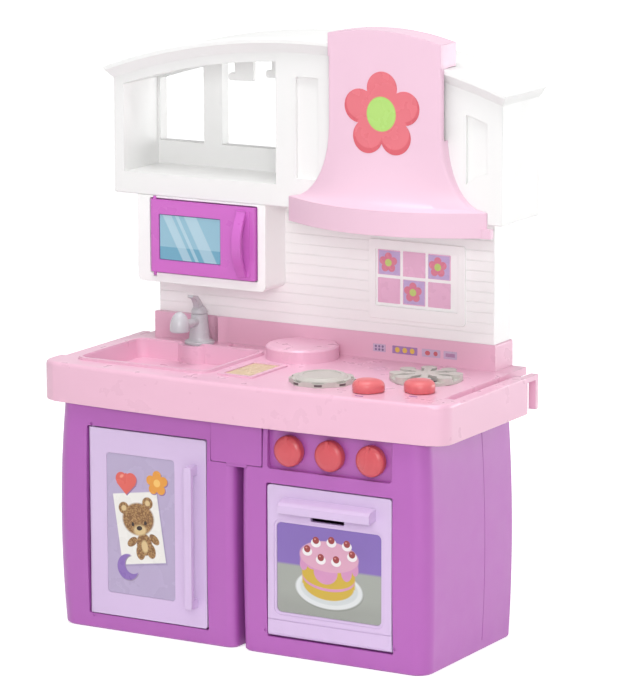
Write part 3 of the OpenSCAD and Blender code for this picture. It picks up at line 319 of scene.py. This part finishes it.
def tile_print():
    p = Print("tile_film", "window_tile_sticker")
    w, h = p.half
    pitch_x, pitch_y = 2 * w / 3, h
    p.colour = srgb("#e8b7d3")
    for col, row in ((-1, 0.5), (1, 0.5), (0, -0.5)):
        x, y = col * pitch_x * 1.02, row * pitch_y * 1.04
        p.lay(p.block(x, y, 0.0185, 0.0185), "#c3abd6")
        p.lay(p.petals(x - 0.002, y, 0.0165), "#d97f95")
        p.lay(p.ellipse(x - 0.002, y, 0.0058), "#bfd276")
    return p.done()


def board_print():
    p = Print("board_film", "chopping_board_sticker", up="y")
    grain = p.node("ShaderNodeMapping")
    grain.inputs["Scale"].default_value = (60, 9, 1)
    p.link(p.flat, grain.inputs["Vector"])
    streak = p.cloud(3, 4, where=grain.outputs[0])
    p.colour = p.mix(streak, srgb("#d3bb90"), srgb("#e2cfa9"))
    return p.done()


def sink_print():
    p = Print("sink_film", "sink_sticker", up="y")
    p.colour = srgb("#d5cfda")
    for x, y, r in ((-0.045, 0.01, 0.014), (-0.018, -0.016, 0.019), (0.015, 0.012, 0.016),
                    (0.042, -0.01, 0.012), (0.058, 0.018, 0.008), (-0.062, -0.018, 0.008)):
        p.lay(p.ellipse(x, y, r), "#efedf2")
        p.lay(p.ellipse(x, y, 0.86 * r), "#c9c2d2")
    return p.done()


def keypad_print():
    p = Print("keypad_film", "keypad_stickers")
    w, h = p.half
    p.colour = srgb("#cdb7d2")
    for i in range(3):
        for j in range(2):
            p.lay(p.ellipse(-w + 0.005 + 0.006 * i, (j - 0.5) * 0.005, 0.0019), "#7d6a90")
    p.lay(p.block(-w + 0.056, 0, 0.022, 2 * h), "#a883b8")
    for i in range(3):
        p.lay(p.ellipse(-w + 0.043 + 0.013 * i, 0, 0.0042), "#e3c15e")
    p.lay(p.ellipse(-w + 0.096, 0, 0.0045, 0.0036), "#cf6a72")
    p.lay(p.ellipse(-w + 0.110, 0, 0.0036), "#cf6a72")
    p.lay(p.block(-w + 0.1355, 0, 0.008, 0.0028), "#b58bb0")
    return p.done()


def fridge_print():
    p = Print("fridge_film", "fridge_sticker")
    p.colour = srgb("#b7a9c8")
    # a child's drawing of a bear on a tilted sheet
    p.lay(p.block(-0.001, -0.005, 0.0405, 0.0565, turn=8.5, soft=0.03), "#9f92b4")
    p.lay(p.block(-0.003, -0.003, 0.040, 0.056, turn=8.5, soft=0.012), "#eceae4")
    fur = p.remap(p.noise(420, 3), 0.42, 0.62, 0.0, 1.0)
    brown = p.mix(fur, srgb("#7d5530"), srgb("#b18a57"))
    pale = srgb("#d8be8c")
    ears = ((-0.031, 0.026, 0.0095, 0.0095, 0), (0.012, 0.038, 0.0095, 0.0095, 0))
    arms = ((-0.016, -0.026, 0.0062, 0.0105, -50), (0.024, -0.018, 0.0062, 0.0105, 50))
    legs = ((-0.001, -0.041, 0.0080, 0.0120, 5), (0.018, -0.037, 0.0080, 0.0120, 15))
    trunk_and_head = ((0.006, -0.028, 0.0140, 0.0175, 10), (-0.005, 0.011, 0.0285, 0.0255, 10))
    for x, y, w, h, turn in (*ears, *arms, *legs, *trunk_and_head):
        p.lay(p.ellipse(x, y, w, h, turn, soft=0.06), brown)
    for x, y, w, h in ((-0.031, 0.026, 0.0045, 0.0045), (0.012, 0.038, 0.0045, 0.0045),
                       (0.0065, -0.031, 0.0058, 0.0095), (-0.002, -0.006, 0.0115, 0.0080)):
        p.lay(p.ellipse(x, y, w, h, 10, soft=0.2), pale)
    for x, y in ((-0.015, 0.002), (0.008, 0.006)):
        p.lay(p.ellipse(x, y, 0.0025, 0.0032), "#2b1a12")
    p.lay(p.ellipse(-0.003, -0.003, 0.0050, 0.0036, 10), "#2b1a12")
    # three magnets, each over its own shadow: a heart, a five-petal flower and a crescent
    shift = 0.0015
    for dx, tone in ((shift, "#8d6f96"), (0.0, "#dd6359")):
        x, y = -0.0265 + dx, 0.066 - dx
        for side in (-1, 1):
            p.lay(p.ellipse(x + 0.0085 * side, y + 0.006, 0.0105), tone)
        p.lay(p.block(x, y - 0.0012, 0.0123, 0.0123, turn=45), tone)
    p.lay(p.ellipse(-0.0345, 0.076, 0.0035, 0.0022, 35, soft=0.4), "#ee9a86")
    for dx, tone in ((shift, "#8d6f96"), (0.0, "#e39a3d")):
        p.lay(p.petals(0.0295 + dx, 0.0715 - dx, 0.0205), tone)
    p.lay(p.ellipse(0.0295, 0.0715, 0.0060), "#f3c26a")
    for dx, tone in ((shift, "#94849f"), (0.0, "#8b6cb4")):
        moon = p.ellipse(-0.0245 + dx, -0.067 - dx, 0.0195, 0.0205)
        bite = p.ellipse(-0.0155 + dx, -0.062 - dx, 0.0145, 0.0150)
        p.lay(p.math("MULTIPLY", moon, p.math("SUBTRACT", 1.0, bite)), tone)
    return p.done()


def oven_print():
    p = Print("oven_film", "oven_sticker")
    w, h = p.half
    p.colour = srgb("#8569b6")
    p.lay(p.block(0, 0.0065 - h, 2 * w, h), "#a3a79f")
    p.lay(p.block(0, -0.9 * h, 2 * w, 0.25 * h, soft=0.6), "#9b9f97")
    p.lay(p.ellipse(0.001, -0.0275, 0.0585, 0.0305), "#8f938b")
    p.lay(p.ellipse(0, -0.0255, 0.0580, 0.0300), "#dfe3e2")
    p.lay(p.ellipse(0, -0.0235, 0.0500, 0.0255), "#cfd5d4")
    # a tall cake with pink icing that runs over yellow sponge
    sponge, pink, top = "#cfae3a", "#d494bd", "#dda7bf"
    p.lay(p.ellipse(-0.001, -0.0185, 0.0440, 0.0235), sponge)
    p.lay(p.block(-0.001, 0.000, 0.0455, 0.0200), sponge)
    p.lay(p.ellipse(-0.001, -0.0080, 0.0450, 0.0200), pink)
    p.lay(p.ellipse(-0.001, -0.0045, 0.0455, 0.0195), sponge)
    p.lay(p.block(0, 0.0170, 0.0500, 0.0095), pink)
    for x, y, rx, ry in ((-0.044, 0.009, 0.0065, 0.009), (-0.006, 0.001, 0.0205, 0.0185),
                         (0.030, 0.006, 0.0095, 0.0150), (0.045, 0.010, 0.0055, 0.009),
                         (-0.028, 0.011, 0.0110, 0.0080)):
        p.lay(p.ellipse(x, y, rx, ry), pink)
    p.lay(p.ellipse(0, 0.0255, 0.0508, 0.0238), top)
    for x, y in ((-0.0228, 0.048), (0.004, 0.051), (0.0307, 0.0484), (-0.0378, 0.0333),
                 (0.0396, 0.0332), (-0.0143, 0.0225), (0.0121, 0.0222)):
        p.lay(p.ellipse(x, y - 0.0035, 0.0085, 0.0068), "#f3eeee")
        p.lay(p.ellipse(x, y + 0.0005, 0.0056, 0.0056), "#9c3a3c")
        p.lay(p.ellipse(x - 0.0015, y + 0.0022, 0.0017, 0.0013), "#d58a84")
    return p.done(rough=(0.14, 0.22))


def burner_print():
    p = Print("burner_film", "burner_sticker", up="y")
    p.colour = srgb("#5d2a63")
    p.lay(p.ellipse(0, 0, 0.033), "#6f3575")
    p.lay(p.ellipse(0, 0, 0.022), "#54235a")
    return p.done()


def dial_print():
    p = Print("dial_film", "dial_mark_stickers", up="y")
    p.colour = srgb("#a678b2")
    p.lay(p.block(0, 0, 0.001, 0.05), "#8f5f9c")
    return p.done()


for node, make in {
    "hood_flower_sticker": flower_print, "microwave_sticker": microwave_print,
    "window_tile_sticker": tile_print, "chopping_board_sticker": board_print,
    "sink_sticker": sink_print, "keypad_stickers": keypad_print,
    "fridge_sticker": fridge_print, "oven_sticker": oven_print,
    "burner_sticker": burner_print, "dial_mark_stickers": dial_print,
}.items():
    dress(node, make())

# ------------------------------------------------------------------ smooth shading

ROUND_EDGES = {
    "left_cabinet": 0.0018, "right_cabinet": 0.0018, "worktop": 0.0015,
    "upper_cabinet": 0.002, "back_wall": 0.0012, "hood": 0.0018,
    "fridge_door": 0.0012, "oven_door": 0.0012, "microwave_door": 0.001,
    "hotplate": 0.001, "burner_grate": 0.0015, "bridge_plate": 0.0015,
    "tap_lever": 0.001, "tap_body": 0.0006,
}
WELD_GAP = 0.00002
ROUND_ABOVE = math.radians(35)
LARGE_FACE_WEIGHT = 80
for name in NODES:
    o = NODES[name]
    o.data.shade_smooth()
    weld = o.modifiers.new("weld", "WELD")
    weld.merge_threshold = WELD_GAP
    if name in ROUND_EDGES:
        b = o.modifiers.new("rounded_edges", "BEVEL")
        b.width = ROUND_EDGES[name]
        b.segments = 2
        b.limit_method = "ANGLE"
        b.angle_limit = ROUND_ABOVE
        b.use_clamp_overlap = True
    w = o.modifiers.new("even_normals", "WEIGHTED_NORMAL")
    w.mode = "FACE_AREA_WITH_ANGLE"
    w.weight = LARGE_FACE_WEIGHT
    w.keep_sharp = False

# ------------------------------------------------------------------ hob knobs

KNOB_RADIUS = 0.022
STEM_RADIUS = 0.005
KNOB_LIFT = 0.0007      # between the worktop and the knob
KNOB_INSET = 0.0002     # below the top of the CAD knob
SHOULDER_HEIGHT = 0.009
DROP_LENGTH = 0.24      # how far the drop's tip stands out, by the radius
DROP_SHARPNESS = 5
DOME_FULLNESS = 0.55
ACROSS, RINGS = 48, 10
HOB_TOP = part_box("hotplate")[0].z


def hob_knob(name, screw, turn):
    """A rounded drop-shaped knob in the place of its CAD solid."""
    lo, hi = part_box(name)
    screw_lo, screw_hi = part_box(screw)
    cx, cy = (screw_lo.x + screw_hi.x) / 2, (screw_lo.y + screw_hi.y) / 2
    z0, z1 = HOB_TOP + KNOB_LIFT, hi.z - KNOB_INSET
    shoulder = z0 + SHOULDER_HEIGHT
    # each step: radius, whether the drop's tip is drawn out, height
    steps = [(STEM_RADIUS, 0, lo.z), (STEM_RADIUS, 0, z0), (0.93 * KNOB_RADIUS, 1, z0),
             (0.985 * KNOB_RADIUS, 1, z0 + 0.0012), (0.99 * KNOB_RADIUS, 1, shoulder)]
    for i in range(RINGS):
        a = math.pi / 2 * (i + 1) / (RINGS + 1)
        steps.append((0.99 * KNOB_RADIUS * math.cos(a) ** DOME_FULLNESS, 1,
                      shoulder + (z1 - shoulder) * math.sin(a)))
    bm = bmesh.new()
    loops = []
    for radius, drop, z in steps:
        loop = []
        for i in range(ACROSS):
            a = 2 * math.pi * i / ACROSS
            d = radius * (1 + DROP_LENGTH * drop * max(0.0, math.cos(a)) ** DROP_SHARPNESS)
            loop.append(bm.verts.new((cx + d * math.cos(a + turn),
                                      cy + d * math.sin(a + turn), z)))
        loops.append(loop)
    for low, high in zip(loops, loops[1:]):
        for i in range(ACROSS):
            j = (i + 1) % ACROSS
            bm.faces.new((low[i], low[j], high[j], high[i]))
    bm.faces.new(loops[-1])
    bm.faces.new(list(reversed(loops[0])))
    mesh = bpy.data.meshes.new(name + "_dome")
    bm.to_mesh(mesh)
    bm.free()
    mesh.shade_smooth()
    mesh.materials.append(HOB_CORAL)
    o = bpy.data.objects.new(name + "_dome", mesh)
    bpy.context.scene.collection.objects.link(o)
    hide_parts(name)
    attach(o, name)


hob_knob("hob_knob_left", "hob_screw_left", math.radians(25))
hob_knob("hob_knob_right", "hob_screw_right", math.pi)

# ------------------------------------------------------------------ stage

scene = bpy.context.scene
scene.view_settings.view_transform = "Standard"

FLOOR_REACH = 12.0
FLOOR_Z = -0.0005
GLOW_NEAR, GLOW_FAR = 0.6, 0.9              # the floor's own light,
GLOW_FROM, GLOW_TO = 1.0, 6.0               # and the distances between which it grows
WORLD_LIGHT, WORLD_IN_REFLECTIONS = 0.3, 0.85

floor_mesh = bpy.data.meshes.new("floor")
bm = bmesh.new()
bm.faces.new([bm.verts.new((x * FLOOR_REACH, y * FLOOR_REACH, FLOOR_Z))
              for x, y in ((-1, -1), (1, -1), (1, 1), (-1, 1))])
bm.to_mesh(floor_mesh)
bm.free()
floor = bpy.data.objects.new("floor", floor_mesh)
scene.collection.objects.link(floor)
m = Mat("pale_floor")
tone = m.cloud(1.5, 2, 0.5, 0.52)
m.put(m.bsdf.inputs["Base Color"], m.mix(tone, (0.9, 0.9, 0.9, 1), (1, 1, 1, 1)))
m.bsdf.inputs["Roughness"].default_value = 0.9
m.bsdf.inputs["Emission Color"].default_value = (1, 1, 1, 1)
# the glow reaches the camera and glossy reflections only, so it lights nothing
path = m.node("ShaderNodeLightPath")
seen = m.math("MAXIMUM", path.outputs["Is Camera Ray"], path.outputs["Is Glossy Ray"])
far = m.node("ShaderNodeVectorMath", operation="LENGTH")
m.link(m.place, far.inputs[0])
shine = m.remap(far.outputs["Value"], GLOW_FROM, GLOW_TO, GLOW_NEAR, GLOW_FAR)
m.put(m.bsdf.inputs["Emission Strength"], m.math("MULTIPLY", seen, shine))
floor_mesh.materials.append(m.mat)

world = bpy.data.worlds.new("studio")
scene.world = world
world.use_nodes = True
back = world.node_tree.nodes["Background"]
back.inputs["Color"].default_value = (1, 1, 1, 1)
path = world.node_tree.nodes.new("ShaderNodeLightPath")
level = world.node_tree.nodes.new("ShaderNodeMapRange")
level.inputs["To Min"].default_value = WORLD_LIGHT
level.inputs["To Max"].default_value = WORLD_IN_REFLECTIONS
world.node_tree.links.new(path.outputs["Is Glossy Ray"], level.inputs["Value"])
world.node_tree.links.new(level.outputs["Result"], back.inputs["Strength"])


def area_light(name, at, aim, size, power):
    data = bpy.data.lights.new(name, "AREA")
    data.shape = "RECTANGLE"
    data.size, data.size_y = size
    data.energy = power
    o = bpy.data.objects.new(name, data)
    o.location = at
    o.rotation_euler = (Vector(aim) - Vector(at)).to_track_quat("-Z", "Y").to_euler()
    scene.collection.objects.link(o)


area_light("key", (2.0, -3.9, 1.9), (0, 0, 0.5), (2.0, 1.8), 80)
area_light("fill", (-2.4, -3.2, 1.4), (0, 0, 0.5), (2.4, 2.0), 6)
area_light("side", (2.9, 3.4, 0.8), (0.3, 0, 0.3), (3.0, 1.6), 66)
area_light("top", (0.2, -0.6, 3.2), (0, 0, 0.6), (2.2, 1.6), 56)

# ------------------------------------------------------------------ camera

CAMERA_AT = (3.1001, -5.2775, 1.6563)
TURN = math.radians(30.048)
TILT = math.radians(11.233)
ROLL = math.radians(-0.137)
LENS = 208.7
cam_data = bpy.data.cameras.new("camera")
cam_data.lens = LENS
cam_data.sensor_width = 36
cam_data.clip_start = 0.1
cam_data.clip_end = 100
camera = bpy.data.objects.new("camera", cam_data)
ahead = Vector((-math.sin(TURN), math.cos(TURN), 0))
look = ahead * math.cos(TILT) - Vector((0, 0, math.sin(TILT)))
up = ahead * math.sin(TILT) + Vector((0, 0, math.cos(TILT)))
right = Vector((math.cos(TURN), math.sin(TURN), 0))
right, up = (right * math.cos(ROLL) + up * math.sin(ROLL),
             up * math.cos(ROLL) - right * math.sin(ROLL))
turn = Matrix((right, up, -look)).transposed().to_4x4()
camera.matrix_world = Matrix.Translation(CAMERA_AT) @ turn
scene.collection.objects.link(camera)
scene.camera = camera
